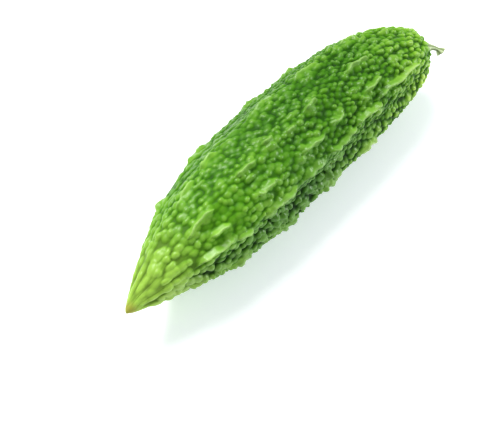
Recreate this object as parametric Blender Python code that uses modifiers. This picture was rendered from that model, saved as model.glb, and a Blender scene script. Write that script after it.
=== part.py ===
"""Bitter gourd as picked, lying on its side: the fruit and its short stalk.

The fruit is one closed skin. A profile turned round the long axis gives the outline, a formula raises
ribs, knobs and warts from it, and a slight bow bends it. The blossom end points to -X and the stalk to +X.
"""
import math
import random
from collections import namedtuple

import bmesh
import bpy
from mathutils import Vector, kdtree

MM = 0.001

# Fruit: the turned outline that the tips of the warts touch
TIP_LENGTH = 92 * MM        # widest place to blossom end
SHOULDER_LENGTH = 108 * MM  # widest place to stalk end
RADIUS = 26.2 * MM
TIP_BELLY = 2.31            # higher keeps the tip half fuller
TIP_TAPER = 1.34            # higher draws the blossom end out finer
TIP_NOSE = 0.18             # bluntness of the blossom end, as a share of the radius
SHOULDER_SQUARENESS = 3.8
LENGTH = TIP_LENGTH + SHOULDER_LENGTH
AXIS_HEIGHT = 25.1 * MM     # the lowest warts reach below the ground and are cut flat

# Bow: how far each end curves to -Y from the place where the fruit is straight
BOW_MIDDLE = 11 * MM        # from the widest place
TIP_BOW = 6.6 * MM
TIP_BOW_POWER = 1.9
STALK_BOW = 11.5 * MM
STALK_BOW_POWER = 3.4

# Seat: the small flat at the stalk end that the stalk stands on
SEAT_RADIUS = 4.2 * MM
SEAT_DEPTH = 2.4 * MM
SEAT_BLEND = 5.0 * MM
GAP = 0.3 * MM

# Warts, laid in rows round the fruit
SEED = 11
WART_SPACING = 6.4 * MM
ROW_PITCH = 0.88            # distance between rows, as a share of the spacing
WART_JITTER = 0.22
WART_WIDTH = 0.57           # radius, as a share of the spacing
WART_WIDTH_RANGE = (0.82, 1.18)
WART_HEIGHT = 2.5 * MM
WART_HEIGHT_RANGE = (0.85, 1.1)
WART_STRETCH_RANGE = (1.0, 1.35)    # length over width
TIP_FADE = 0.18             # share of the length over which the relief fades to the blossom end
TIP_CALM = 0.18             # share of the relief that is left there
TIP_STRETCH = 1.1           # how much longer the warts get there

# Ridges at the blossom end: broad, with narrow furrows between them
TIP_RIDGES = 10
TIP_RIDGE_DEPTH = 1.1 * MM
TIP_RIDGE_BREADTH = 0.5     # lower makes the ridges broader and the furrows narrower
TIP_RIDGE_START = 0.01
TIP_RIDGE_END = 0.20
TIP_RIDGE_RISE = 4.0        # higher makes them start more suddenly
TIP_RIDGE_SWAY = 0.35

# Ribs: the angle of each in degrees from +Y up over the top, then its raised stretches as start and end in
# shares of the length from the blossom end, millimetres over the warts, and degrees aside
SEEN_RIBS = (
    (22, ((0.20, 0.26, 0.5, 0), (0.33, 0.42, 0.7, 2), (0.51, 0.60, 0.7, -2), (0.65, 0.71, 0.7, 0),
          (0.84, 0.92, 0.8, 3))),
    (62, ((0.21, 0.30, 0.8, 2), (0.31, 0.38, 0.8, 0), (0.49, 0.56, 0.6, -3), (0.63, 0.71, 0.6, 2),
          (0.78, 0.84, 0.6, 0))),
    (101, ((0.17, 0.27, 1.6, 3), (0.335, 0.415, 1.3, 1), (0.44, 0.48, 1.4, -4), (0.50, 0.535, 1.1, 4),
           (0.57, 0.625, 1.3, 1), (0.71, 0.81, 0.9, -1))),
    (130, ((0.21, 0.27, 1.1, -1), (0.345, 0.415, 0.9, 0), (0.49, 0.585, 1.3, 2), (0.60, 0.655, 0.9, 0),
           (0.72, 0.80, 1.2, -2))),
    (149, ((0.15, 0.27, 1.8, -2), (0.255, 0.31, 1.4, 5), (0.33, 0.46, 1.7, 4), (0.46, 0.56, 0.9, 5),
           (0.56, 0.66, 1.6, 4), (0.65, 0.75, 1.8, -1), (0.73, 0.93, 2.2, -6))),
)
PLAIN_RIB_ANGLES = (195, 233, 270, 307, 343)            # their stretches are drawn at random
PLAIN_STRETCHES_FROM = 0.18
PLAIN_STRETCHES_TO = 0.90
PLAIN_LENGTH_RANGE = (0.03, 0.11)
PLAIN_PAUSE_RANGE = (0.03, 0.10)
PLAIN_HEIGHT_RANGE = (0.4, 1.1)
PLAIN_ASIDE = 3.0
RIB_TWIST = -8.0            # degrees that a rib turns from end to end
RIB_SIGHT = 40.0            # degrees to either side in which a rib counts
RIB_SWAY = 0.5 * MM         # how far a crest strays to either side
RIB_SWAY_PACE = 75.0
RIB_WIDTH = 3.7 * MM
RIB_LEAN = 0.12             # how much steeper a crest is on its lower side than on its upper one
RIB_SHARPNESS = 0.9
RIB_TAPER = 0.8             # lower keeps a stretch wider towards its ends
RIB_BEADS = 0.06            # how much the crest rises and falls along its length
RIB_BEAD_PACE = 190.0
RIB_BEAD_PHASE = 3.0        # sets each stretch's beads off from the next one's
RIB_ENDS = 0.03             # share of the length over which a stretch rises
HOLLOW_DEPTH = 1.2 * MM     # how far the skin dips between two ribs
HOLLOW_REACH = 8 * MM
FLANK_HOLLOW = 1.6 * MM     # deeper hollow below the rib that stands out most
FLANK_HOLLOW_ANGLE = 171.0
FLANK_HOLLOW_SPREAD = 15.0  # degrees to either side
FLANK_HOLLOW_FROM = 0.22
FLANK_HOLLOW_EASE = 0.12

# Stalk
STALK_LENGTH = 9.0 * MM
STALK_FOOT = 3.9 * MM
STALK_RADIUS = 0.95 * MM
STALK_END_SWELL = 1.3 * MM
STALK_SWELL_FROM = 0.7      # share of its length where it starts to widen again
STALK_SMOOTH_FOOT = 0.15    # share of its length over which its ribs rise
STALK_RIBS = 5
STALK_RIB_DEPTH = 0.14      # as a share of the radius
STALK_FLARE_POWER = 4       # higher keeps the flare closer to the foot
STALK_TURN = math.radians(65)    # how far it has turned down at its end
STALK_SIDEWAYS = math.radians(40)    # how far it turns to -Y while going down
STALK_SHARP_ANGLE = math.radians(50)

# Mesh fineness
RINGS = 230
SECTORS = 200
FRUIT_TRIANGLES = 11400
STALK_RINGS = 10
STALK_SECTORS = 20
OUTLINE_STEPS = 600

Wart = namedtuple("Wart", "centre lengthwise stretch radius height")


def smooth(value):
    """Eases from 0 to 1 as the value goes from 0 to 1."""
    value = min(1.0, max(0.0, value))
    return value * value * (3.0 - 2.0 * value)


def outline_radius(x):
    """Radius of the turned outline at a place along the axis."""
    if x < 0.0:
        fullness = max(0.0, 1.0 - (-x / TIP_LENGTH) ** TIP_BELLY) ** TIP_TAPER
        reach = fullness * (math.hypot(1.0, TIP_NOSE) - TIP_NOSE) + TIP_NOSE
        return RADIUS * math.sqrt(max(0.0, reach * reach - TIP_NOSE * TIP_NOSE))
    return RADIUS * math.sqrt(max(0.0, 1.0 - (x / SHOULDER_LENGTH) ** SHOULDER_SQUARENESS))


def outline_points(count):
    """Points (x, radius) along the outline from the blossom end, an even distance apart."""
    dense = []
    for step in range(OUTLINE_STEPS + 1):
        x = 0.5 * (SHOULDER_LENGTH - TIP_LENGTH) - 0.5 * LENGTH * math.cos(math.pi * step / OUTLINE_STEPS)
        dense.append((x, outline_radius(x)))
    travelled = [0.0]
    for (x0, r0), (x1, r1) in zip(dense, dense[1:]):
        travelled.append(travelled[-1] + math.hypot(x1 - x0, r1 - r0))
    points = []
    place = 0
    for index in range(count):
        target = travelled[-1] * index / (count - 1)
        while place < OUTLINE_STEPS - 1 and travelled[place + 1] < target:
            place += 1
        share = (target - travelled[place]) / (travelled[place + 1] - travelled[place])
        (x0, r0), (x1, r1) = dense[place], dense[place + 1]
        points.append((x0 + (x1 - x0) * share, r0 + (r1 - r0) * share))
    return points, travelled[-1]


def length_share(x):
    """Place along the fruit, 0 at the blossom end and 1 at the stalk end."""
    return (x + TIP_LENGTH) / LENGTH


def place_warts():
    """Rows of warts round the fruit, each a little off its place and of its own size."""
    draw = random.Random(SEED)
    _, travel = outline_points(2)
    rows = round(travel / (WART_SPACING * ROW_PITCH))
    stations, _ = outline_points(2 * rows + 1)
    warts = []
    for row in range(rows):
        (x0, r0), (x, radius), (x1, r1) = stations[2 * row:2 * row + 3]
        slope = Vector((x1 - x0, r1 - r0)).normalized()
        tip = 1.0 - smooth(length_share(x) / TIP_FADE)
        count = max(4, round(2.0 * math.pi * radius / WART_SPACING))
        for index in range(count):
            turn = index + 0.5 * (row % 2) + draw.uniform(-WART_JITTER, WART_JITTER)
            angle = 2.0 * math.pi * turn / count
            shift = draw.uniform(-WART_JITTER, WART_JITTER) * WART_SPACING
            around = Vector((0.0, math.cos(angle), math.sin(angle)))
            lengthwise = Vector((slope[0], 0.0, 0.0)) + around * slope[1]
            centre = Vector((x, 0.0, 0.0)) + around * radius + lengthwise * shift
            width = WART_SPACING * WART_WIDTH * draw.uniform(*WART_WIDTH_RANGE)
            stretch = draw.uniform(*WART_STRETCH_RANGE) + TIP_STRETCH * tip
            height = WART_HEIGHT * draw.uniform(*WART_HEIGHT_RANGE)
            warts.append(Wart(centre, lengthwise, stretch, width, height))
    return warts


def wart_height(point, warts, tree, reach):
    """Height of the tallest wart over a point of the outline."""
    tallest = 0.0
    for _, index, _ in tree.find_range(point, reach):
        wart = warts[index]
        offset = point - wart.centre
        along = offset.dot(wart.lengthwise)
        square = offset.length_squared - along * along + (along / wart.stretch) ** 2
        share = 1.0 - square / (wart.radius * wart.radius)
        if share > 0.0:
            tallest = max(tallest, wart.height * share)
    return tallest


def all_ribs():
    """Every rib: its angle and its raised stretches."""
    draw = random.Random(SEED)
    ribs = list(SEEN_RIBS)
    for angle in PLAIN_RIB_ANGLES:
        stretches = []
        start = PLAIN_STRETCHES_FROM + draw.uniform(0.0, PLAIN_PAUSE_RANGE[1])
        while start < PLAIN_STRETCHES_TO:
            end = start + draw.uniform(*PLAIN_LENGTH_RANGE)
            height = draw.uniform(*PLAIN_HEIGHT_RANGE)
            stretches.append((start, end, height, draw.uniform(-PLAIN_ASIDE, PLAIN_ASIDE)))
            start = end + draw.uniform(*PLAIN_PAUSE_RANGE)
        ribs.append((angle, stretches))
    return ribs


def stretch_height(stretch, share, across, lean):
    """Height of one raised stretch of a rib, at a distance across it."""
    start, end, height, _ = stretch
    ends = min(RIB_ENDS, 0.5 * (end - start))
    rise = smooth((share - start) / ends) * smooth((end - share) / ends)
    width = RIB_WIDTH * (1.0 - lean if across > 0.0 else 1.0 + lean) * rise ** RIB_TAPER
    if abs(across) >= width:
        return 0.0
    beads = 1.0 + RIB_BEADS * math.sin(RIB_BEAD_PACE * share + RIB_BEAD_PHASE * height)
    return (WART_HEIGHT + height * MM) * rise * beads * (1.0 - abs(across) / width) ** RIB_SHARPNESS


def rib_heights(angle, share, radius, ribs):
    """Height of the tallest crest at a point, and how far the nearest rib is."""
    crest = 0.0
    gap = math.pi * radius
    lean = -RIB_LEAN * math.cos(angle)
    for middle, stretches in ribs:
        path = middle + RIB_TWIST * (share - 0.5)
        apart = (math.degrees(angle) - path + 180.0) % 360.0 - 180.0
        if abs(apart) > RIB_SIGHT:
            continue
        gap = min(gap, math.radians(abs(apart)) * radius)
        for stretch in stretches:
            sway = RIB_SWAY * math.sin(RIB_SWAY_PACE * (share + stretch[2]))
            across = math.radians(apart - stretch[3]) * radius - sway
            crest = max(crest, stretch_height(stretch, share, across, lean))
    return crest, gap


def flank_hollow(angle, share):
    """Depth of the hollow below the rib that stands out most."""
    apart = (math.degrees(angle) - FLANK_HOLLOW_ANGLE + 180.0) % 360.0 - 180.0
    start = smooth((share - FLANK_HOLLOW_FROM) / FLANK_HOLLOW_EASE)
    end = smooth((1.0 - share) / FLANK_HOLLOW_EASE)
    return FLANK_HOLLOW * start * end * smooth(1.0 - abs(apart) / FLANK_HOLLOW_SPREAD)


def tip_furrow(angle, share):
    """Depth of the furrows between the ridges at the blossom end."""
    reach = TIP_RIDGE_END - TIP_RIDGE_START
    start = min(1.0, TIP_RIDGE_RISE * max(0.0, share - TIP_RIDGE_START) / reach)
    fade = start * smooth((TIP_RIDGE_END - share) / reach)
    turn = 0.5 * TIP_RIDGES * angle + TIP_RIDGE_SWAY * math.sin(TIP_RIDGES * share * math.tau)
    return TIP_RIDGE_DEPTH * fade * (1.0 - abs(math.sin(turn)) ** TIP_RIDGE_BREADTH)


def relief(point, warts, tree, reach, ribs):
    """Height of the skin over the turned outline: 0 at the warts' tops, less in the creases."""
    share = length_share(point.x)
    radius = math.hypot(point.y, point.z)
    angle = math.atan2(point.z, point.y)
    crest, gap = rib_heights(angle, share, radius, ribs)
    bumps = max(wart_height(point, warts, tree, reach), crest)
    height = bumps - WART_HEIGHT - HOLLOW_DEPTH * smooth(gap / HOLLOW_REACH) - flank_hollow(angle, share)
    height *= TIP_CALM + (1.0 - TIP_CALM) * smooth(share / TIP_FADE)
    height -= tip_furrow(angle, share)
    at_seat = 0.0
    if point.x > 0.0:
        at_seat = smooth(1.0 - (radius - SEAT_RADIUS) / SEAT_BLEND)
    return height * (1.0 - at_seat) - SEAT_DEPTH * at_seat


def bowed(point):
    """Bends a point of the straight fruit along the bow, and lifts it to lie on the ground."""
    span, bow, power = SHOULDER_LENGTH - BOW_MIDDLE, STALK_BOW, STALK_BOW_POWER
    if point.x < BOW_MIDDLE:
        span, bow, power = -TIP_LENGTH - BOW_MIDDLE, TIP_BOW, TIP_BOW_POWER
    reach = min(1.0, (point.x - BOW_MIDDLE) / span)
    slope = -bow * power * reach ** (power - 1.0) / span
    turn = math.atan(slope)
    side = -bow * reach ** power + slope * max(0.0, point.x - SHOULDER_LENGTH)
    return Vector((point.x - point.y * math.sin(turn), side + point.y * math.cos(turn),
                   point.z + AXIS_HEIGHT))


def finish_material(name, colour, roughness):
    """A Principled material in one colour."""
    material = bpy.data.materials.new(name)
    material.use_nodes = True
    shader = material.node_tree.nodes["Principled BSDF"]
    shader.inputs["Base Color"].default_value = (*colour, 1.0)
    shader.inputs["Roughness"].default_value = roughness
    shader.inputs["Metallic"].default_value = 0.0
    return material


def turned_mesh(name, profile, steps):
    """A closed mesh made by turning a profile of (x, radius) points round the X axis."""
    mesh = bpy.data.meshes.new(name)
    edges = [(i, i + 1) for i in range(len(profile) - 1)]
    mesh.from_pydata([(x, 0.0, radius) for x, radius in profile], edges, [])
    guide = bpy.data.objects.new(name, mesh)
    bpy.context.scene.collection.objects.link(guide)
    screw = guide.modifiers.new("Turn", "SCREW")
    screw.axis = "X"
    screw.steps = steps
    screw.render_steps = steps
    screw.use_merge_vertices = True
    screw.merge_threshold = 0.01 * MM
    turned = bpy.data.meshes.new_from_object(guide.evaluated_get(bpy.context.evaluated_depsgraph_get()))
    bpy.data.objects.remove(guide)
    bm = bmesh.new()
    bm.from_mesh(turned)
    bmesh.ops.remove_doubles(bm, verts=bm.verts, dist=0.01 * MM)
    bmesh.ops.recalc_face_normals(bm, faces=bm.faces)
    bm.to_mesh(turned)
    bm.free()
    return turned


def decimated(mesh, triangles):
    """The same skin with fewer triangles, most of them kept where it is most curved."""
    guide = bpy.data.objects.new(mesh.name, mesh)
    bpy.context.scene.collection.objects.link(guide)
    mesh.calc_loop_triangles()
    decimate = guide.modifiers.new("Fewer faces", "DECIMATE")
    decimate.ratio = triangles / len(mesh.loop_triangles)
    fewer = bpy.data.meshes.new_from_object(guide.evaluated_get(bpy.context.evaluated_depsgraph_get()))
    bpy.data.objects.remove(guide)
    return fewer


def press_flat(mesh):
    """Cuts the lowest warts off level with the ground."""
    bm = bmesh.new()
    bm.from_mesh(mesh)
    everything = bm.verts[:] + bm.edges[:] + bm.faces[:]
    bmesh.ops.bisect_plane(bm, geom=everything, dist=0.001 * MM, plane_co=(0, 0, 0), plane_no=(0, 0, -1),
                           clear_outer=True)
    rim = [edge for edge in bm.edges if edge.is_boundary]
    bmesh.ops.holes_fill(bm, edges=rim, sides=0)
    bmesh.ops.recalc_face_normals(bm, faces=bm.faces)
    bm.to_mesh(mesh)
    bm.free()


def make_fruit():
    """The warty fruit."""
    profile, _ = outline_points(RINGS)
    mesh = turned_mesh("gourd_fruit", profile, SECTORS)
    warts = place_warts()
    tree = kdtree.KDTree(len(warts))
    for index, wart in enumerate(warts):
        tree.insert(wart.centre, index)
    tree.balance()
    reach = max(wart.radius * wart.stretch for wart in warts)
    ribs = all_ribs()
    raised = [vert.co + vert.normal * relief(vert.co, warts, tree, reach, ribs) for vert in mesh.vertices]
    for vert, place in zip(mesh.vertices, raised):
        vert.co = bowed(place)
    mesh = decimated(mesh, FRUIT_TRIANGLES)
    press_flat(mesh)
    mesh.shade_smooth()
    mesh.materials.append(finish_material("fruit_green", (0.09, 0.32, 0.015), 0.42))
    return bpy.data.objects.new("gourd_fruit", mesh)


def make_stalk():
    """The ribbed stalk, flared at its foot and cut square at its end."""
    profile = [(0.0, 0.0)]
    for ring in range(STALK_RINGS + 1):
        share = ring / STALK_RINGS
        flare = (1.0 - share) ** STALK_FLARE_POWER
        radius = STALK_RADIUS + (STALK_FOOT - STALK_RADIUS) * flare
        radius += STALK_END_SWELL * smooth((share - STALK_SWELL_FROM) / (1.0 - STALK_SWELL_FROM))
        profile.append((STALK_LENGTH * share, radius))
    profile.append((STALK_LENGTH, 0.0))
    mesh = turned_mesh("gourd_stalk", profile, STALK_SECTORS)
    foot = SHOULDER_LENGTH - SEAT_DEPTH + GAP
    down = Vector((0.0, -math.sin(STALK_SIDEWAYS), -math.cos(STALK_SIDEWAYS)))
    for vert in mesh.vertices:
        share = vert.co.x / STALK_LENGTH
        ribs = math.cos(STALK_RIBS * math.atan2(vert.co.z, vert.co.y))
        ribs *= smooth(share / STALK_SMOOTH_FOOT)
        off_axis = Vector((0.0, vert.co.y, vert.co.z)) * (1.0 + STALK_RIB_DEPTH * ribs)
        turn = STALK_TURN * share
        arc = STALK_LENGTH / STALK_TURN
        lower = off_axis.dot(down)
        ahead = arc * math.sin(turn) - lower * math.sin(turn)
        drop = arc * (1.0 - math.cos(turn)) + lower * (math.cos(turn) - 1.0)
        vert.co = bowed(Vector((foot + ahead, 0.0, 0.0)) + off_axis + down * drop)
    mesh.set_sharp_from_angle(angle=STALK_SHARP_ANGLE)
    mesh.materials.append(finish_material("stalk_green", (0.20, 0.27, 0.13), 0.6))
    return bpy.data.objects.new("gourd_stalk", mesh)


def centre_on_origin(pieces):
    """Moves the pieces so that the middle of their box stands over the origin, resting at height 0."""
    corners = [vert.co for piece in pieces for vert in piece.data.vertices]
    shift = Vector((
        -0.5 * (min(co.x for co in corners) + max(co.x for co in corners)),
        -0.5 * (min(co.y for co in corners) + max(co.y for co in corners)),
        0.0,
    ))
    for piece in pieces:
        for vert in piece.data.vertices:
            vert.co += shift


def main():
    for leftover in list(bpy.data.objects):
        bpy.data.objects.remove(leftover)
    collection = bpy.data.collections.new("bitter_gourd")
    bpy.context.scene.collection.children.link(collection)
    pieces = [make_fruit(), make_stalk()]
    for piece in pieces:
        collection.objects.link(piece)
    centre_on_origin(pieces)


main()
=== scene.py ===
"""Bitter gourd lying on a pale floor: the finely warted fruit and its ribbed stalk, with their finishes."""
import math
import random
from collections import namedtuple

import bmesh
import bpy
import numpy as np
from bpy.props import FloatProperty, FloatVectorProperty, IntProperty, PointerProperty
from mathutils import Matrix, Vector, kdtree, noise


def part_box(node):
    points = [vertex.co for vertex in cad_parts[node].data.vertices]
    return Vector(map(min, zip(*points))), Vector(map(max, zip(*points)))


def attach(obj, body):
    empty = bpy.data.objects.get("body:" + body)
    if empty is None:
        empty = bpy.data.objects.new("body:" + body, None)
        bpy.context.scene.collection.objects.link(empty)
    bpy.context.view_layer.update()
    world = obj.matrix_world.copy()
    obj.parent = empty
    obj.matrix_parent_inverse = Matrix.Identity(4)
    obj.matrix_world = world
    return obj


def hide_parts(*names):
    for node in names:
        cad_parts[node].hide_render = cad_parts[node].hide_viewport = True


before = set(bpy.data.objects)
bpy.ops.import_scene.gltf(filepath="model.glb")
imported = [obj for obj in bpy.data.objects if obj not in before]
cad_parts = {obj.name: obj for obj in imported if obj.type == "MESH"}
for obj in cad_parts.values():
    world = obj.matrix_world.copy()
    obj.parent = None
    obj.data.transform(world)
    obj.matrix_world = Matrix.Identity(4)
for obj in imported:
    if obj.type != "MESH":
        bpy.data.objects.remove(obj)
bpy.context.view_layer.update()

bl_info = {
    "name": "Bitter gourd",
    "version": (1, 0, 0),
    "blender": (4, 5, 0),
    "location": "View3D > Sidebar > Gourd",
    "description": "Builds a warty bitter gourd with its stalk, on a softly lit floor",
    "category": "Object",
}

MM = 0.001
FRUIT_LOW, FRUIT_HIGH = (Vector(corner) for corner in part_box("gourd_fruit"))

# Outline of the fruit that the tops of the warts touch, the same as the solid's
TIP_LENGTH = 92 * MM        # widest place to blossom end
SHOULDER_LENGTH = 108 * MM  # widest place to stalk end
LENGTH = TIP_LENGTH + SHOULDER_LENGTH
RADIUS = 26.2 * MM
TIP_BELLY = 2.31
TIP_TAPER = 1.34
TIP_NOSE = 0.18
SHOULDER_SQUARENESS = 3.8
AXIS_HEIGHT = 25.1 * MM
BOW_MIDDLE = 11 * MM
TIP_BOW = 6.6 * MM
TIP_BOW_POWER = 1.9
STALK_BOW = 11.5 * MM
STALK_BOW_POWER = 3.4
SEAT_RADIUS = 4.2 * MM
SEAT_DEPTH = 2.4 * MM
SEAT_BLEND = 5.0 * MM
OUTLINE_STEPS = 800

# Ridges at the blossom end: broad, with narrow furrows between them
TIP_RIDGES = 10
TIP_RIDGE_DEPTH = 0.8 * MM
TIP_RIDGE_BREADTH = 0.5
TIP_RIDGE_START = 0.01
TIP_RIDGE_END = 0.20
TIP_RIDGE_RISE = 4.0        # higher makes them start more suddenly
TIP_RIDGE_SWAY = 0.35

# Ribs: the angle of each in degrees from +Y up over the top, then its raised stretches as start and end in
# shares of the length from the blossom end, millimetres over the warts, and degrees aside
SEEN_RIBS = (
    (22, ((0.20, 0.26, 0.5, 0), (0.33, 0.42, 0.7, 2), (0.51, 0.60, 0.7, -2), (0.65, 0.71, 0.7, 0),
          (0.86, 0.93, 0.3, 3))),
    (62, ((0.21, 0.30, 0.8, 2), (0.31, 0.38, 0.8, 0), (0.49, 0.56, 0.6, -3), (0.63, 0.71, 0.6, 2),
          (0.78, 0.84, 0.6, 0))),
    (101, ((0.17, 0.27, 1.6, 3), (0.335, 0.415, 1.3, 1), (0.44, 0.48, 1.4, -4), (0.50, 0.535, 1.1, 4),
           (0.57, 0.625, 1.3, 1), (0.71, 0.81, 0.9, -1))),
    (130, ((0.21, 0.27, 1.1, -1), (0.345, 0.415, 0.9, 0), (0.49, 0.585, 1.3, 2), (0.60, 0.655, 0.9, 0),
           (0.72, 0.80, 1.2, -2))),
    (149, ((0.15, 0.27, 1.8, -2), (0.255, 0.31, 1.4, 5), (0.33, 0.46, 1.7, 4), (0.46, 0.56, 0.9, 5),
           (0.55, 0.67, 1.6, 4), (0.64, 0.77, 1.8, 0), (0.72, 0.95, 2.2, -6))),
)
RIB_SEED = 11               # the draws for the ribs below match the solid's
PLAIN_RIB_ANGLES = (195, 233, 270, 307, 343)
PLAIN_STRETCHES_FROM = 0.18
PLAIN_STRETCHES_TO = 0.90   # a stretch that would end beyond it is left out
PLAIN_LENGTH_RANGE = (0.03, 0.11)
PLAIN_PAUSE_RANGE = (0.03, 0.10)
PLAIN_HEIGHT_RANGE = (0.4, 1.1)
PLAIN_ASIDE = 3.0
RIB_TWIST = -8.0            # degrees that a rib turns from end to end
RIB_SIGHT = 40.0            # degrees to either side in which a rib counts
RIB_SWAYS = ((75.0, 0.5 * MM), (190.0, 0.2 * MM))    # pace along the length, and distance
RIB_WIDTH = 2.2 * MM
RIB_LEAN = 0.3              # how much steeper a crest is on its lower side than on its upper one
RIB_SHARPNESS = 1.2         # of the lower side
RIB_FULLNESS = 1.3          # of the upper side
RIB_TAPER = 0.8             # lower keeps a stretch wider towards its ends
RIB_UNEVENNESS = 0.28
RIB_BEADS = 0.12            # how much a crest swells and narrows along its length
RIB_BEAD_PACE = 190.0
RIB_BEAD_PHASE = 3.0
RIB_END_WIDTH = 0.05        # share of the width that is left at a stretch's ends
RIB_END_SHARE = 0.28        # share of a stretch over which it rises, and over which it falls
RIB_TRAIL = 0.35            # lower keeps the pale line, partly a painted highlight, further into the ends
RIB_CLEARING = 0.15         # how far the warts sink beside a crest
HOLLOW_DEPTH = 1.2 * MM
HOLLOW_REACH = 8 * MM
FLANK_HOLLOW = 1.6 * MM     # deeper hollow below the rib that stands out most
FLANK_HOLLOW_ANGLE = 171.0
FLANK_HOLLOW_SPREAD = 15.0  # degrees to either side
FLANK_HOLLOW_FROM = 0.22
FLANK_HOLLOW_EASE = 0.12

# Warts
SPACING_PACE = 1.5          # how fast the spacing goes from the tip half's to the stalk half's
SPACING_LAG = 0.15
ROW_PITCH = 0.86            # distance between rows, as a share of the spacing
WART_JITTER = 0.30
WART_WIDTH = 0.565          # radius, as a share of the spacing
WART_WIDTH_RANGE = (0.76, 1.2)
WART_HEIGHT_RANGE = (0.6, 1.25)
WART_STRETCH_RANGE = (1.0, 1.35)
WART_ROUNDNESS = 0.85       # lower gives the warts steeper sides and flatter tops
WART_WARP = 0.8 * MM        # how far their outlines stray from round
WART_WARP_PACE = 260.0
CREASE_SOFTNESS = 0.14 * MM
PATCH_DEPTH = 0.35          # how much flatter or higher the warts are in patches
PATCH_PACE = 55.0
UNEVEN_PACE = 120.0
TIP_FADE = 0.18             # share of the length over which the relief fades to the blossom end
TIP_CALM = 0.45             # share of the relief that is left there
TIP_STRETCH = 0.6           # how much longer the warts get there
LARGE_AT_TIP = 0.35         # how much larger the warts are near the blossom end
LARGE_AT_TIP_TO = 0.32      # share of the length up to which they are
KNOB_CHANCE = 0.022         # how often a wart is a knob, larger than those round it
KNOBS_FROM = 0.30           # share of the length from which there are knobs
KNOB_WIDTH = 1.45
KNOB_HEIGHT = 1.5
CREST_LUMPS = 0.75          # how much the warts show on the crests

# The half with the blossom end, where the relief is calmer
CALM_FROM = 0.42            # share of the length up to which it is
CALM_EASE = 0.30
CALM_WARTS = 0.28           # how much lower the warts are
CALM_DEPTH = 0.20           # how much shallower the creases are
CALM_LIFT = 0.20            # how much paler the creases are

# The lower flank, where the warts are fewer and larger
COARSE_ANGLE = 182.0        # degrees from +Y up over the top, and degrees to either side
COARSE_SPREAD = 42.0
COARSE_TO = 0.55            # share of the length up to which the warts there are larger
COARSE_EASE = 0.25
COARSE_SKIP = 0.08          # how often a wart is left out
COARSE_WIDTH = 0.12         # how much wider and higher the others are
COARSE_HEIGHT = 0.35
COARSE_SINK = 0.3 * MM      # keeps the outline there
FLANK_PAINT_FADE_FROM = 0.14           # share of the length from the blossom end over which the painted shade and highlights on the lower flank fade in

# Stalk
STALK_LENGTH = 9.0 * MM
STALK_FOOT = 3.9 * MM
STALK_RADIUS = 0.95 * MM
STALK_END_SWELL = 1.3 * MM
STALK_SWELL_FROM = 0.7
STALK_SMOOTH_FOOT = 0.15
STALK_RIBS = 5
STALK_RIB_DEPTH = 0.14
STALK_FLARE_POWER = 4
STALK_TURN = math.radians(65)
STALK_SIDEWAYS = math.radians(40)
STALK_CUT_FROM = 0.999      # share of its length from which it is the cut end

# Mesh fineness: rings along a piece and sectors round it
FRUIT_RINGS = 345
FRUIT_SECTORS = 288
SECTOR_CROWD = 0.28         # how much closer the sectors stand on the side that shows
CROWD_ANGLE = math.radians(115)
STALK_RINGS = 70
STALK_SECTORS = 60
MERGE_DISTANCE = 0.005 * MM

# Camera, as it stood for the photograph, from the fruit's widest place on the ground
CAMERA_AZIMUTH = -48.57
CAMERA_ELEVATION = 55.0
CAMERA_LENS = 100.0
CAMERA_PLACE = (-0.2786, -0.2396, 0.5191)

# Lights: place, side in metres, colour
LIGHT_AIM = Vector((0.0, 0.0, 0.02))
KEY_LIGHT = ((0.05, 0.42, 0.82), 0.55, (1.0, 0.99, 0.96))
GLINT_LIGHT = ((-0.10, 0.45, 0.70), 0.12, (1.0, 1.0, 0.98))
FILL_LIGHT = ((0.75, -0.55, 0.42), 0.35, (0.97, 0.98, 1.0))

Wart = namedtuple("Wart", "centre lengthwise stretch radius height tone")


class FruitSettings(bpy.types.PropertyGroup):
    """Sizes and colours of the fruit's skin."""
    seed: IntProperty(name="Seed", description="Which draw of warts the fruit gets", default=11, min=1)
    spacing_tip: FloatProperty(
        name="Wart spacing, tip half", description="Distance between warts in the half with the blossom end",
        default=3.3 * MM, unit="LENGTH")
    spacing_stalk: FloatProperty(
        name="Wart spacing, stalk half", description="Distance between warts in the half with the stalk",
        default=3.1 * MM, unit="LENGTH")
    height: FloatProperty(
        name="Wart height", description="Height of the warts over the creases between them",
        default=1.5 * MM, unit="LENGTH")
    # Darker green in the creases: partly the skin's own colour, partly painted shade
    crease_green_and_shade: FloatVectorProperty(
        name="Crease", description="Green in the creases between warts", default=(0.018, 0.090, 0.001),
        subtype="COLOR", size=3)
    flank: FloatVectorProperty(
        name="Flank", description="Green on the warts' sides", default=(0.058, 0.208, 0.004),
        subtype="COLOR", size=3)
    top: FloatVectorProperty(
        name="Top", description="Green on the warts' tops", default=(0.125, 0.320, 0.019),
        subtype="COLOR", size=3)
    # Pale crests: partly their own paler green, partly a painted highlight along the crest line
    crest: FloatVectorProperty(
        name="Crest", description="Pale green on the crests of the ribs", default=(0.300, 0.520, 0.120),
        subtype="COLOR", size=3)
    tip: FloatVectorProperty(
        name="Blossom end", description="Yellow green near the blossom end", default=(0.375, 0.600, 0.080),
        subtype="COLOR", size=3)
    scar: FloatVectorProperty(
        name="Scar", description="Brownish yellow where the blossom sat", default=(0.330, 0.340, 0.050),
        subtype="COLOR", size=3)


class StalkSettings(bpy.types.PropertyGroup):
    """Colours of the stalk."""
    rib: FloatVectorProperty(
        name="Rib", description="Grey green on the stalk's ribs", default=(0.42, 0.50, 0.28),
        subtype="COLOR", size=3)
    furrow: FloatVectorProperty(
        name="Furrow", description="Dark green between the ribs", default=(0.16, 0.22, 0.08),
        subtype="COLOR", size=3)
    cut: FloatVectorProperty(
        name="Cut end", description="Pale fibre on the cut end", default=(0.42, 0.44, 0.25),
        subtype="COLOR", size=3)


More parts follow.
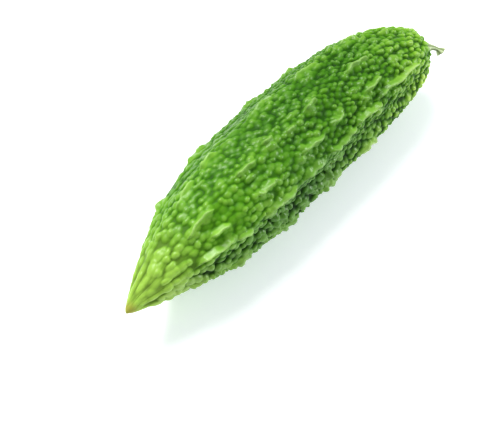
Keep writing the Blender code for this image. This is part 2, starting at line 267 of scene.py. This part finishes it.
class StageSettings(bpy.types.PropertyGroup):
    """Floor and light."""
    floor_size: FloatProperty(
        name="Floor size", description="Side of the square floor", default=14.0, unit="LENGTH")
    floor_colour: FloatVectorProperty(
        name="Floor", description="Colour of the floor", default=(0.93, 0.935, 0.95),
        subtype="COLOR", size=3)
    key: FloatProperty(
        name="Key light", description="Power of the large light from the back left", default=9.5,
        unit="POWER")
    fill: FloatProperty(
        name="Fill light", description="Power of the light from the right", default=6.5, unit="POWER")
    glow: FloatProperty(
        name="Floor glow", description="Light that the floor gives off, as a light table does", default=0.32)
    glint: FloatProperty(
        name="Glint light", description="Power of the small light that the skin glints with", default=1.6,
        unit="POWER")
    sky: FloatProperty(
        name="Sky", description="Strength of the even light from all round", default=0.45)


def smooth(value):
    """Eases from 0 to 1 as the value goes from 0 to 1."""
    value = np.clip(value, 0.0, 1.0)
    return value * value * (3.0 - 2.0 * value)


def side_share(angle, middle, spread):
    """1 at the middle angle round the fruit, easing to 0 at the spread to either side, in degrees."""
    apart = (np.degrees(angle) - middle + 180.0) % 360.0 - 180.0
    return smooth(1.0 - np.abs(apart) / spread)


def soft_max(one, other, softness):
    """The larger of two heights, rounded where they meet."""
    near = np.maximum(0.0, softness - np.abs(one - other))
    return np.maximum(one, other) + near * near / (4.0 * softness)


def outline_radius(x):
    """Radius of the turned outline at a place along the axis."""
    if x < 0.0:
        fullness = max(0.0, 1.0 - (-x / TIP_LENGTH) ** TIP_BELLY) ** TIP_TAPER
        reach = fullness * (math.hypot(1.0, TIP_NOSE) - TIP_NOSE) + TIP_NOSE
        return RADIUS * math.sqrt(max(0.0, reach * reach - TIP_NOSE * TIP_NOSE))
    return RADIUS * math.sqrt(max(0.0, 1.0 - (x / SHOULDER_LENGTH) ** SHOULDER_SQUARENESS))


def outline_table():
    """Close points of the outline, and how far along it each one lies."""
    points = []
    for step in range(OUTLINE_STEPS + 1):
        x = 0.5 * (SHOULDER_LENGTH - TIP_LENGTH) - 0.5 * LENGTH * math.cos(math.pi * step / OUTLINE_STEPS)
        points.append((x, outline_radius(x)))
    travelled = [0.0]
    for (x0, r0), (x1, r1) in zip(points, points[1:]):
        travelled.append(travelled[-1] + math.hypot(x1 - x0, r1 - r0))
    return points, travelled


def outline_at(distances):
    """Points (x, radius, slope) at rising distances along the outline from the blossom end."""
    points, travelled = outline_table()
    found = []
    place = 0
    for distance in distances:
        while place < OUTLINE_STEPS - 1 and travelled[place + 1] < distance:
            place += 1
        share = (distance - travelled[place]) / (travelled[place + 1] - travelled[place])
        (x0, r0), (x1, r1) = points[place], points[place + 1]
        slope = Vector((x1 - x0, r1 - r0)).normalized()
        found.append((x0 + (x1 - x0) * share, r0 + (r1 - r0) * share, slope))
    return found


def length_share(x):
    """Place along the fruit, 0 at the blossom end and 1 at the stalk end."""
    return (x + TIP_LENGTH) / LENGTH


def all_ribs():
    """Every rib: its angle and its raised stretches."""
    draw = random.Random(RIB_SEED)
    ribs = list(SEEN_RIBS)
    for angle in PLAIN_RIB_ANGLES:
        stretches = []
        start = PLAIN_STRETCHES_FROM + draw.uniform(0.0, PLAIN_PAUSE_RANGE[1])
        while start < PLAIN_STRETCHES_TO:
            end = start + draw.uniform(*PLAIN_LENGTH_RANGE)
            height = draw.uniform(*PLAIN_HEIGHT_RANGE)
            aside = draw.uniform(-PLAIN_ASIDE, PLAIN_ASIDE)
            if end < PLAIN_STRETCHES_TO:
                stretches.append((start, end, height, aside))
            start = end + draw.uniform(*PLAIN_PAUSE_RANGE)
        ribs.append((angle, stretches))
    return ribs


def stretch_height(stretch, share, across, lean, base):
    """Height of one raised stretch of a rib, and how near its middle line is, from 0 to 1."""
    start, end, height, _ = stretch
    ends = RIB_END_SHARE * (end - start)
    rise = smooth((share - start) / ends) * smooth((end - share) / ends)
    width = RIB_WIDTH * np.where(across > 0.0, 1.0 - lean, 1.0 + lean)
    width *= RIB_END_WIDTH + (1.0 - RIB_END_WIDTH) * rise ** RIB_TAPER
    beads = 1.0 + RIB_BEADS * np.sin(RIB_BEAD_PACE * share + RIB_BEAD_PHASE * height)
    near = np.maximum(0.0, 1.0 - np.abs(across) / width)
    slope = near ** np.where(across > 0.0, RIB_SHARPNESS, RIB_FULLNESS)
    return (base + height * MM) * rise * beads * slope, rise ** RIB_TRAIL * near


def rib_heights(angle, share, radius, base):
    """Height of the crests, how near their middle lines are, and how far the nearest rib is."""
    crest = np.zeros_like(angle)
    nearness = np.zeros_like(angle)
    gap = math.pi * radius
    lean = -RIB_LEAN * np.cos(angle)
    for middle, stretches in all_ribs():
        path = middle + RIB_TWIST * (share - 0.5)
        apart = (np.degrees(angle) - path + 180.0) % 360.0 - 180.0
        gap = np.where(np.abs(apart) < RIB_SIGHT, np.minimum(gap, np.radians(np.abs(apart)) * radius), gap)
        for stretch in stretches:
            across = np.radians(apart - stretch[3]) * radius
            for pace, distance in RIB_SWAYS:
                across -= distance * np.sin(pace * (share + stretch[2]))
            height, near = stretch_height(stretch, share, across, lean, base)
            crest = np.maximum(crest, height)
            nearness = np.maximum(nearness, near)
    return crest, nearness, gap


def place_warts(sizes):
    """Rows of warts round the fruit, each a little off its place and of its own size."""
    draw = random.Random(sizes.seed)
    _, travelled = outline_table()
    mean = 0.5 * (sizes.spacing_tip + sizes.spacing_stalk)
    distances = []
    spacings = []
    distance = 0.0
    while distance < travelled[-1]:
        share = distance / travelled[-1]
        change = float(smooth(share * SPACING_PACE - SPACING_LAG))
        spacing = sizes.spacing_tip + (sizes.spacing_stalk - sizes.spacing_tip) * change
        spacing *= 1.0 + LARGE_AT_TIP * (1.0 - float(smooth(share / LARGE_AT_TIP_TO)))
        distances.append(min(distance + 0.5 * spacing * ROW_PITCH, travelled[-1]))
        spacings.append(spacing)
        distance += spacing * ROW_PITCH
    warts = []
    for row, ((x, radius, slope), spacing) in enumerate(zip(outline_at(distances), spacings)):
        tip = 1.0 - float(smooth(length_share(x) / TIP_FADE))
        count = max(4, round(2.0 * math.pi * radius / spacing))
        for index in range(count):
            turn = index + 0.5 * (row % 2) + draw.uniform(-WART_JITTER, WART_JITTER)
            angle = 2.0 * math.pi * turn / count
            shift = draw.uniform(-WART_JITTER, WART_JITTER) * spacing
            around = Vector((0.0, math.cos(angle), math.sin(angle)))
            lengthwise = Vector((slope[0], 0.0, 0.0)) + around * slope[1]
            centre = Vector((x, 0.0, 0.0)) + around * radius + lengthwise * shift
            width = spacing * WART_WIDTH * draw.uniform(*WART_WIDTH_RANGE)
            stretch = draw.uniform(*WART_STRETCH_RANGE) + TIP_STRETCH * tip
            height = sizes.height * spacing / mean * draw.uniform(*WART_HEIGHT_RANGE)
            coarse = float(side_share(angle, COARSE_ANGLE, COARSE_SPREAD))
            coarse *= 1.0 - float(smooth((length_share(x) - COARSE_TO) / COARSE_EASE))
            if draw.random() < COARSE_SKIP * coarse:
                continue
            width *= 1.0 + COARSE_WIDTH * coarse
            height *= 1.0 + COARSE_HEIGHT * coarse
            if draw.random() < KNOB_CHANCE and length_share(x) > KNOBS_FROM:
                width *= KNOB_WIDTH
                height *= KNOB_HEIGHT
            warts.append(Wart(centre, lengthwise, stretch, width, height, draw.random()))
    return warts


def noise_at(points, pace):
    """Smooth noise from about -1 to 1 at many points."""
    return np.array([noise.noise(point * pace) for point in points])


def wart_heights(points, warts):
    """Height and tone of the warts at many points, rounded where two warts meet."""
    strayed = np.array([point + WART_WARP * noise.noise_vector(point * WART_WARP_PACE) for point in points])
    tree = kdtree.KDTree(len(strayed))
    for index, point in enumerate(strayed):
        tree.insert(point, index)
    tree.balance()
    tallest = np.zeros(len(strayed))
    second = np.zeros(len(strayed))
    tone = np.full(len(strayed), 0.5)
    for wart in warts:
        found = tree.find_range(wart.centre, wart.radius * wart.stretch)
        near = np.array([index for _, index, _ in found], int)
        if not len(near):
            continue
        offset = strayed[near] - wart.centre
        along = offset @ np.array(wart.lengthwise)
        square = (offset * offset).sum(axis=1) - along * along + (along / wart.stretch) ** 2
        dome = 1.0 - square / (wart.radius * wart.radius)
        near = near[dome > 0.0]
        height = wart.height * dome[dome > 0.0] ** WART_ROUNDNESS
        second[near] = np.maximum(second[near], np.minimum(height, tallest[near]))
        tone[near] = np.where(height > tallest[near], wart.tone, tone[near])
        tallest[near] = np.maximum(tallest[near], height)
    return soft_max(tallest, second, CREASE_SOFTNESS), tone


def flank_hollow(angle, share):
    """Depth of the hollow below the rib that stands out most."""
    start = smooth((share - FLANK_HOLLOW_FROM) / FLANK_HOLLOW_EASE)
    end = smooth((1.0 - share) / FLANK_HOLLOW_EASE)
    return FLANK_HOLLOW * start * end * side_share(angle, FLANK_HOLLOW_ANGLE, FLANK_HOLLOW_SPREAD)


def tip_furrow(angle, share):
    """Depth of the furrows between the ridges at the blossom end."""
    reach = TIP_RIDGE_END - TIP_RIDGE_START
    start = np.clip(TIP_RIDGE_RISE * (share - TIP_RIDGE_START) / reach, 0.0, 1.0)
    fade = start * smooth((TIP_RIDGE_END - share) / reach)
    turn = 0.5 * TIP_RIDGES * angle + TIP_RIDGE_SWAY * np.sin(TIP_RIDGES * share * math.tau)
    return TIP_RIDGE_DEPTH * fade * (1.0 - np.abs(np.sin(turn)) ** TIP_RIDGE_BREADTH)


def skin_of(points, sizes):
    """Height of the skin over points of the turned outline, and the numbers that its colours follow."""
    x, y, z = np.array(points).T
    share = length_share(x)
    radius = np.hypot(y, z)
    angle = np.arctan2(z, y)
    crest, nearness, gap = rib_heights(angle, share, radius, sizes.height)
    crest *= 1.0 + RIB_UNEVENNESS * noise_at(points, UNEVEN_PACE)
    noise.seed_set(sizes.seed)
    wart, tone = wart_heights(points, place_warts(sizes))
    # The lower flank: coarser warts there, and the mask for the painted shade and highlights on it
    lower_flank_and_painted_shade = side_share(angle, COARSE_ANGLE, COARSE_SPREAD)
    calm = (1.0 - smooth((share - CALM_FROM) / CALM_EASE)) * (1.0 - lower_flank_and_painted_shade)
    wart *= (1.0 - RIB_CLEARING * np.sqrt(nearness)) * (1.0 + PATCH_DEPTH * noise_at(points, PATCH_PACE))
    wart *= 1.0 - CALM_WARTS * calm
    bumps = soft_max(wart, crest, CREASE_SOFTNESS) + CREST_LUMPS * wart * nearness
    hollow = HOLLOW_DEPTH * smooth(gap / HOLLOW_REACH) + flank_hollow(angle, share) + COARSE_SINK * lower_flank_and_painted_shade
    height = bumps - sizes.height
    height = np.where(height < 0.0, height * (1.0 - CALM_DEPTH * calm), height) - hollow
    height *= TIP_CALM + (1.0 - TIP_CALM) * smooth(share / TIP_FADE)
    furrow = tip_furrow(angle, share)
    at_seat = np.where(x > 0.0, smooth(1.0 - (radius - SEAT_RADIUS) / SEAT_BLEND), 0.0)
    height = (height - furrow) * (1.0 - at_seat) - SEAT_DEPTH * at_seat
    # The rise sets the colour from crease to top, so the creases and the furrows at the blossom end get
    # painted shade as well as their own darker green
    rise = bumps / (sizes.height * (1.0 - CALM_WARTS * calm))
    rise += CALM_LIFT * calm * np.maximum(0.0, 1.0 - rise) - furrow / TIP_RIDGE_DEPTH
    # The painted shade and highlights on the lower flank fade out towards the blossom end
    lower_flank_and_painted_shade *= smooth(share / FLANK_PAINT_FADE_FROM)
    numbers = {"rise": rise, "crest": nearness, "share": share, "tone": tone, "lower_flank_and_painted_shade": lower_flank_and_painted_shade,
               "dip": smooth(gap / HOLLOW_REACH)}
    return height, numbers


def bowed(point):
    """Bends a point of the straight fruit along the bow, and lifts it to lie on the ground."""
    span, bow, power = SHOULDER_LENGTH - BOW_MIDDLE, STALK_BOW, STALK_BOW_POWER
    if point.x < BOW_MIDDLE:
        span, bow, power = -TIP_LENGTH - BOW_MIDDLE, TIP_BOW, TIP_BOW_POWER
    reach = min(1.0, (point.x - BOW_MIDDLE) / span)
    slope = -bow * power * reach ** (power - 1.0) / span
    turn = math.atan(slope)
    side = -bow * reach ** power + slope * max(0.0, point.x - SHOULDER_LENGTH)
    return Vector((point.x - point.y * math.sin(turn), side + point.y * math.cos(turn),
                   point.z + AXIS_HEIGHT))


def turned(profile, sectors):
    """A bmesh made by turning a profile of (x, radius) points once round the X axis."""
    bm = bmesh.new()
    verts = [bm.verts.new((x, 0.0, radius)) for x, radius in profile]
    edges = [bm.edges.new(pair) for pair in zip(verts, verts[1:])]
    bmesh.ops.spin(bm, geom=verts + edges, cent=(0, 0, 0), axis=(1, 0, 0), dvec=(0, 0, 0),
                   angle=2.0 * math.pi, steps=sectors, use_merge=True, use_duplicate=False)
    bmesh.ops.remove_doubles(bm, verts=bm.verts, dist=MERGE_DISTANCE)
    bmesh.ops.recalc_face_normals(bm, faces=bm.faces)
    return bm


def crowd_sectors(bm):
    """Turns the vertices so that the sectors stand closer together on the side that shows."""
    for vert in bm.verts:
        angle = math.atan2(vert.co.z, vert.co.y)
        radius = math.hypot(vert.co.y, vert.co.z)
        angle -= SECTOR_CROWD * math.sin(angle - CROWD_ANGLE)
        vert.co.y = radius * math.cos(angle)
        vert.co.z = radius * math.sin(angle)


def finished_piece(name, bm, material, node):
    """Makes the bmesh a smooth object that stands for a node of the solid model."""
    mesh = bpy.data.meshes.new(name)
    bm.to_mesh(mesh)
    bm.free()
    mesh.shade_smooth()
    mesh.materials.append(material)
    piece = bpy.data.objects.new(name, mesh)
    bpy.context.scene.collection.objects.link(piece)
    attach(piece, "root")
    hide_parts(node)
    return piece


def layout_shift():
    """How far the straight model's coordinates are moved to lie in the solid model's frame."""
    points, _ = outline_table()
    rims = [bowed(Vector((x, side * radius, 0.0))) for x, radius in points for side in (-1.0, 1.0)]
    middle = 0.5 * (min(rim.y for rim in rims) + max(rim.y for rim in rims))
    aside = 0.5 * (FRUIT_LOW.y + FRUIT_HIGH.y) - middle
    return Vector((FRUIT_LOW.x - min(rim.x for rim in rims), aside, 0.0))


# Materials

# Tints that multiply the skin's green, as ramps of (place, (r, g, b))
BAND_TINTS = ((0.2, (1.12, 1.06, 1.15)), (1.0, (0.72, 0.80, 0.70)))             # from a rib to between ribs
MOTTLE_TINTS = ((0.30, (0.62, 0.80, 0.5)), (0.70, (1.25, 1.15, 1.4)))
WART_TINTS = ((0.0, (0.8, 0.88, 0.75)), (1.0, (1.2, 1.1, 1.25)))                # from wart to wart
FLANK_PAINTED_SHADE_AND_HIGHLIGHT = ((0.35, (0.26, 0.34, 0.24)), (0.95, (1.12, 1.00, 1.7)))           # painted shade in the lower flank's creases and painted bluish highlights on its wart tops, from creases to tops
# Painted light along the lower flank: darker in the blossom half, much brighter towards the stalk end, which
# faces away from the key light
FLANK_PAINTED_LIGHT_ALONG = ((0.25, (0.88, 0.88, 0.86)), (0.50, (0.95, 0.98, 0.98)), (0.80, (2.10, 1.75, 1.65)))
LENGTH_TINTS = ((0.12, (1.30, 1.20, 1.5)), (0.32, (1.05, 1.02, 1.1)), (0.48, (0.74, 0.78, 0.82)),
                (0.62, (0.80, 0.82, 0.88)), (0.80, (0.88, 0.86, 0.92)), (0.93, (1.42, 1.15, 1.5)))
FIBRE_TINTS = ((0.3, (0.7, 0.75, 0.7)), (0.7, (1.2, 1.2, 1.2)))
TIP_CREASE = 0.62       # how bright the creases at the blossom end are, against the tops; their darkness is partly their own colour, partly painted shade
FLOOR_MOTTLE = 1.01


def node(tree, kind, **settings):
    """A new node with its properties set."""
    made = tree.nodes.new(kind)
    for key, value in settings.items():
        setattr(made, key, value)
    return made


def attribute(tree, name):
    """The socket that reads a number stored on the mesh."""
    return node(tree, "ShaderNodeAttribute", attribute_name=name).outputs["Fac"]


def ramp(tree, factor, stops):
    """A colour ramp: stops are (place, (r, g, b))."""
    made = node(tree, "ShaderNodeValToRGB")
    elements = made.color_ramp.elements
    while len(elements) < len(stops):
        elements.new(0.5)
    for element, (place, colour) in zip(elements, stops):
        element.position = place
        element.color = (*colour, 1.0)
    tree.links.new(factor, made.inputs["Fac"])
    return made.outputs["Color"]


def mix(tree, factor, first, second, blend="MIX"):
    """Mixes two colours, each a socket or plain (r, g, b)."""
    made = node(tree, "ShaderNodeMix", data_type="RGBA", blend_type=blend)
    for socket, value in ((made.inputs[0], factor), (made.inputs[6], first), (made.inputs[7], second)):
        if isinstance(value, bpy.types.NodeSocket):
            tree.links.new(value, socket)
        elif isinstance(value, (int, float)):
            socket.default_value = value
        else:
            socket.default_value = (*value, 1.0)
    return made.outputs[2]


def remap(tree, value, low, high, to_low=0.0, to_high=1.0):
    """Maps a number smoothly from one range to another."""
    made = node(tree, "ShaderNodeMapRange", interpolation_type="SMOOTHSTEP")
    tree.links.new(value, made.inputs["Value"])
    made.inputs["From Min"].default_value = low
    made.inputs["From Max"].default_value = high
    made.inputs["To Min"].default_value = to_low
    made.inputs["To Max"].default_value = to_high
    return made.outputs["Result"]


def skin_grain_group():
    """Node group: the fine grain of plant skin, as a mottle from 0 to 1 and a height for a bump."""
    group = bpy.data.node_groups.new("skin_grain", "ShaderNodeTree")
    for name, kind, direction, default in (
            ("Vector", "NodeSocketVector", "INPUT", None),
            ("Mottle Scale", "NodeSocketFloat", "INPUT", 120.0),
            ("Grain Scale", "NodeSocketFloat", "INPUT", 1600.0),
            ("Mottle", "NodeSocketFloat", "OUTPUT", None),
            ("Height", "NodeSocketFloat", "OUTPUT", None)):
        socket = group.interface.new_socket(name=name, in_out=direction, socket_type=kind)
        if default is not None:
            socket.default_value = default
    inside = group.nodes.new("NodeGroupInput")
    outside = group.nodes.new("NodeGroupOutput")
    mottle = node(group, "ShaderNodeTexNoise")
    mottle.inputs["Detail"].default_value = 3.0
    grain = node(group, "ShaderNodeTexNoise")
    grain.inputs["Detail"].default_value = 2.0
    pores = node(group, "ShaderNodeTexVoronoi", feature="SMOOTH_F1")
    height = node(group, "ShaderNodeMath", operation="ADD")
    links = group.links
    for texture, scale in ((mottle, "Mottle Scale"), (grain, "Grain Scale"), (pores, "Grain Scale")):
        links.new(inside.outputs["Vector"], texture.inputs["Vector"])
        links.new(inside.outputs[scale], texture.inputs["Scale"])
    links.new(mottle.outputs["Fac"], outside.inputs["Mottle"])
    links.new(grain.outputs["Fac"], height.inputs[0])
    links.new(pores.outputs["Distance"], height.inputs[1])
    links.new(height.outputs[0], outside.inputs["Height"])
    return group


def grain(tree, mottle_scale, grain_scale):
    """Places the skin grain group in a material, on Object coordinates."""
    group = bpy.data.node_groups.get("skin_grain") or skin_grain_group()
    made = node(tree, "ShaderNodeGroup", node_tree=group)
    made.inputs["Mottle Scale"].default_value = mottle_scale
    made.inputs["Grain Scale"].default_value = grain_scale
    tree.links.new(node(tree, "ShaderNodeTexCoord").outputs["Object"], made.inputs["Vector"])
    return made.outputs["Mottle"], made.outputs["Height"]


def new_material(name):
    """An empty node material, its tree and its Principled shader."""
    material = bpy.data.materials.new(name)
    material.use_nodes = True
    return material, material.node_tree, material.node_tree.nodes["Principled BSDF"]


def add_bump(tree, shader, height, strength, distance):
    """Feeds a height to the shader's normal."""
    bump = node(tree, "ShaderNodeBump")
    bump.inputs["Strength"].default_value = strength
    bump.inputs["Distance"].default_value = distance
    tree.links.new(height, bump.inputs["Height"])
    tree.links.new(bump.outputs["Normal"], shader.inputs["Normal"])


def fruit_material(look):
    """Waxy green skin: darker creases, partly their own colour and partly painted shade; paler tops; paler
    crests with a painted highlight along them; painted shade and highlights on the lower flank; yellow
    towards the blossom end.
    """
    material, tree, shader = new_material("gourd_skin")
    mottle, height = grain(tree, 90.0, 1500.0)
    rise = attribute(tree, "rise")
    # From creases to tops: the darker creases are partly the skin's own green, partly painted shade
    colour = ramp(tree, rise, ((0.15, look.crease_green_and_shade), (0.55, look.flank), (0.95, look.top)))
    colour = mix(tree, 1.0, colour, ramp(tree, attribute(tree, "dip"), BAND_TINTS), "MULTIPLY")
    colour = mix(tree, 0.6, colour, ramp(tree, mottle, MOTTLE_TINTS), "MULTIPLY")
    colour = mix(tree, 0.45, colour, ramp(tree, attribute(tree, "tone"), WART_TINTS), "MULTIPLY")
    # Pale crests: partly their own paler green, partly a painted highlight along their middle line
    colour = mix(tree, remap(tree, attribute(tree, "crest"), 0.62, 1.0, 0.0, 0.7), colour, look.crest)
    share = attribute(tree, "share")
    colour = mix(tree, 1.0, colour, ramp(tree, share, LENGTH_TINTS), "MULTIPLY")
    tip = ramp(tree, rise, ((0.2, [TIP_CREASE * c for c in look.tip]), (0.9, look.tip)))
    colour = mix(tree, remap(tree, share, 0.24, 0.02, 0.0, 0.75), colour, tip)
    # Painted shade and highlights on the lower flank, which faces away from the key light
    shade = mix(tree, 1.0, ramp(tree, rise, FLANK_PAINTED_SHADE_AND_HIGHLIGHT), ramp(tree, share, FLANK_PAINTED_LIGHT_ALONG), "MULTIPLY")
    colour = mix(tree, attribute(tree, "lower_flank_and_painted_shade"), colour, mix(tree, 1.0, colour, shade, "MULTIPLY"))
    colour = mix(tree, remap(tree, share, 0.030, 0.006), colour, look.scar)
    tree.links.new(colour, shader.inputs["Base Color"])
    shader.inputs["Roughness"].default_value = 0.45
    shader.inputs["Specular IOR Level"].default_value = 0.06
    tree.links.new(remap(tree, rise, 0.50, 1.0, 0.0, 0.4), shader.inputs["Coat Weight"])
    shader.inputs["Coat Roughness"].default_value = 0.25
    shader.inputs["Sheen Weight"].default_value = 0.18
    shader.inputs["Sheen Roughness"].default_value = 0.4
    shader.inputs["Sheen Tint"].default_value = (0.75, 1.0, 0.55, 1.0)
    shader.inputs["Subsurface Weight"].default_value = 0.12
    shader.inputs["Subsurface Radius"].default_value = (0.6, 1.0, 0.2)
    shader.inputs["Subsurface Scale"].default_value = 1.2 * MM
    add_bump(tree, shader, height, 0.35, 0.06 * MM)
    return material


def stalk_material(look):
    """Dull grey green fibre with dark furrows, and a pale cut end."""
    material, tree, shader = new_material("gourd_stalk")
    mottle, height = grain(tree, 500.0, 2600.0)
    colour = ramp(tree, attribute(tree, "rise"), ((0.1, look.furrow), (0.8, look.rib)))
    colour = mix(tree, 0.6, colour, ramp(tree, mottle, FIBRE_TINTS), "MULTIPLY")
    colour = mix(tree, attribute(tree, "cut"), colour, look.cut)
    tree.links.new(colour, shader.inputs["Base Color"])
    shader.inputs["Roughness"].default_value = 0.62
    add_bump(tree, shader, height, 0.5, 0.08 * MM)
    return material


# Pieces

class GOURD_OT_fruit(bpy.types.Operator):
    """Builds the warty fruit."""
    bl_idname = "gourd.fruit"
    bl_label = "Fruit"

    def execute(self, context):
        look = context.scene.gourd_fruit
        _, travelled = outline_table()
        distances = [travelled[-1] * ring / (FRUIT_RINGS - 1) for ring in range(FRUIT_RINGS)]
        bm = turned([(x, radius) for x, radius, _ in outline_at(distances)], FRUIT_SECTORS)
        crowd_sectors(bm)
        bm.normal_update()
        heights, numbers = skin_of([vert.co.copy() for vert in bm.verts], look)
        for name, values in numbers.items():
            layer = bm.verts.layers.float.new(name)
            for vert, value in zip(bm.verts, values):
                vert[layer] = value
        shift = layout_shift()
        for vert, height in zip(bm.verts, heights):
            vert.co = bowed(vert.co + vert.normal * height) + shift
            vert.co.z = max(0.0, vert.co.z)
        finished_piece("fruit_skin", bm, fruit_material(look), "gourd_fruit")
        return {"FINISHED"}


class GOURD_OT_stalk(bpy.types.Operator):
    """Builds the ribbed stalk."""
    bl_idname = "gourd.stalk"
    bl_label = "Stalk"

    def execute(self, context):
        look = context.scene.gourd_stalk
        profile = [(0.0, 0.0)]
        for ring in range(STALK_RINGS + 1):
            share = ring / STALK_RINGS
            flare = (1.0 - share) ** STALK_FLARE_POWER
            radius = STALK_RADIUS + (STALK_FOOT - STALK_RADIUS) * flare
            radius += STALK_END_SWELL * smooth((share - STALK_SWELL_FROM) / (1.0 - STALK_SWELL_FROM))
            profile.append((STALK_LENGTH * share, radius))
        profile.append((STALK_LENGTH, 0.0))
        bm = turned(profile, STALK_SECTORS)
        rise = bm.verts.layers.float.new("rise")
        cut = bm.verts.layers.float.new("cut")
        foot = SHOULDER_LENGTH - SEAT_DEPTH
        down = Vector((0.0, -math.sin(STALK_SIDEWAYS), -math.cos(STALK_SIDEWAYS)))
        arc = STALK_LENGTH / STALK_TURN
        shift = layout_shift()
        for vert in bm.verts:
            share = vert.co.x / STALK_LENGTH
            wave = math.cos(STALK_RIBS * math.atan2(vert.co.z, vert.co.y))
            vert[rise] = 0.5 + 0.5 * wave
            vert[cut] = 1.0 if share > STALK_CUT_FROM else 0.0
            wave *= smooth(share / STALK_SMOOTH_FOOT)
            off_axis = Vector((0.0, vert.co.y, vert.co.z)) * (1.0 + STALK_RIB_DEPTH * wave)
            turn = STALK_TURN * share
            lower = off_axis.dot(down)
            ahead = (arc - lower) * math.sin(turn)
            drop = (arc - lower) * (1.0 - math.cos(turn))
            vert.co = bowed(Vector((foot + ahead, 0.0, 0.0)) + off_axis + down * drop) + shift
        finished_piece("stalk", bm, stalk_material(look), "gourd_stalk")
        return {"FINISHED"}


def floor_material(colour, glow):
    """Pale matt floor, faintly lit from inside."""
    material, tree, shader = new_material("floor")
    mottle, _ = grain(tree, 6.0, 400.0)
    pale = [min(1.0, FLOOR_MOTTLE * c) for c in colour]
    tree.links.new(ramp(tree, mottle, ((0.3, colour), (0.7, pale))), shader.inputs["Base Color"])
    shader.inputs["Roughness"].default_value = 0.7
    shader.inputs["Specular IOR Level"].default_value = 0.2
    shader.inputs["Emission Color"].default_value = (0.86, 0.93, 1.0, 1.0)
    shader.inputs["Emission Strength"].default_value = glow
    return material


def area_light(name, light, power):
    """A square soft light that faces the fruit."""
    place, side, colour = light
    data = bpy.data.lights.new(name, "AREA")
    data.shape = "SQUARE"
    data.size = side
    data.energy = power
    data.color = colour
    lamp = bpy.data.objects.new(name, data)
    lamp.location = place
    lamp.rotation_euler = (Vector(place) - LIGHT_AIM).to_track_quat("Z", "Y").to_euler()
    bpy.context.scene.collection.objects.link(lamp)


class GOURD_OT_stage(bpy.types.Operator):
    """Builds the floor, the soft studio light and the camera."""
    bl_idname = "gourd.stage"
    bl_label = "Stage"

    def execute(self, context):
        scene = context.scene
        look = scene.gourd_stage
        bm = bmesh.new()
        bmesh.ops.create_grid(bm, x_segments=1, y_segments=1, size=0.5 * look.floor_size)
        mesh = bpy.data.meshes.new("floor")
        bm.to_mesh(mesh)
        bm.free()
        mesh.materials.append(floor_material(look.floor_colour, look.glow))
        floor = bpy.data.objects.new("floor", mesh)
        scene.collection.objects.link(floor)

        area_light("key_light", KEY_LIGHT, look.key)
        area_light("glint_light", GLINT_LIGHT, look.glint)
        area_light("fill_light", FILL_LIGHT, look.fill)

        world = bpy.data.worlds.new("sky")
        world.use_nodes = True
        background = world.node_tree.nodes["Background"]
        background.inputs["Color"].default_value = (0.96, 0.98, 1.0, 1.0)
        background.inputs["Strength"].default_value = look.sky
        scene.world = world

        data = bpy.data.cameras.new("camera")
        data.lens = CAMERA_LENS
        data.sensor_width = 36.0
        camera = bpy.data.objects.new("camera", data)
        camera.location = Vector(CAMERA_PLACE) + layout_shift()
        camera.rotation_euler = (math.radians(90.0 - CAMERA_ELEVATION), 0.0, math.radians(CAMERA_AZIMUTH))
        scene.collection.objects.link(camera)
        scene.camera = camera
        scene.view_settings.view_transform = "Standard"
        return {"FINISHED"}


class GOURD_PT_panel(bpy.types.Panel):
    """Lists what the add-on builds, with its sizes and colours."""
    bl_idname = "GOURD_PT_panel"
    bl_label = "Bitter gourd"
    bl_space_type = "VIEW_3D"
    bl_region_type = "UI"
    bl_category = "Gourd"

    def draw(self, context):
        for operator, settings in (("gourd.fruit", context.scene.gourd_fruit),
                                   ("gourd.stalk", context.scene.gourd_stalk),
                                   ("gourd.stage", context.scene.gourd_stage)):
            box = self.layout.box()
            box.operator(operator)
            for name in settings.bl_rna.properties.keys():
                if name not in ("rna_type", "name"):
                    box.prop(settings, name)


CLASSES = (FruitSettings, StalkSettings, StageSettings,
           GOURD_OT_fruit, GOURD_OT_stalk, GOURD_OT_stage, GOURD_PT_panel)


def register():
    for cls in CLASSES:
        bpy.utils.register_class(cls)
    bpy.types.Scene.gourd_fruit = PointerProperty(type=FruitSettings)
    bpy.types.Scene.gourd_stalk = PointerProperty(type=StalkSettings)
    bpy.types.Scene.gourd_stage = PointerProperty(type=StageSettings)


def unregister():
    del bpy.types.Scene.gourd_fruit
    del bpy.types.Scene.gourd_stalk
    del bpy.types.Scene.gourd_stage
    for cls in reversed(CLASSES):
        bpy.utils.unregister_class(cls)


def main():
    register()
    bpy.ops.gourd.fruit()
    bpy.ops.gourd.stalk()
    bpy.ops.gourd.stage()


if __name__ == "__main__":
    main()
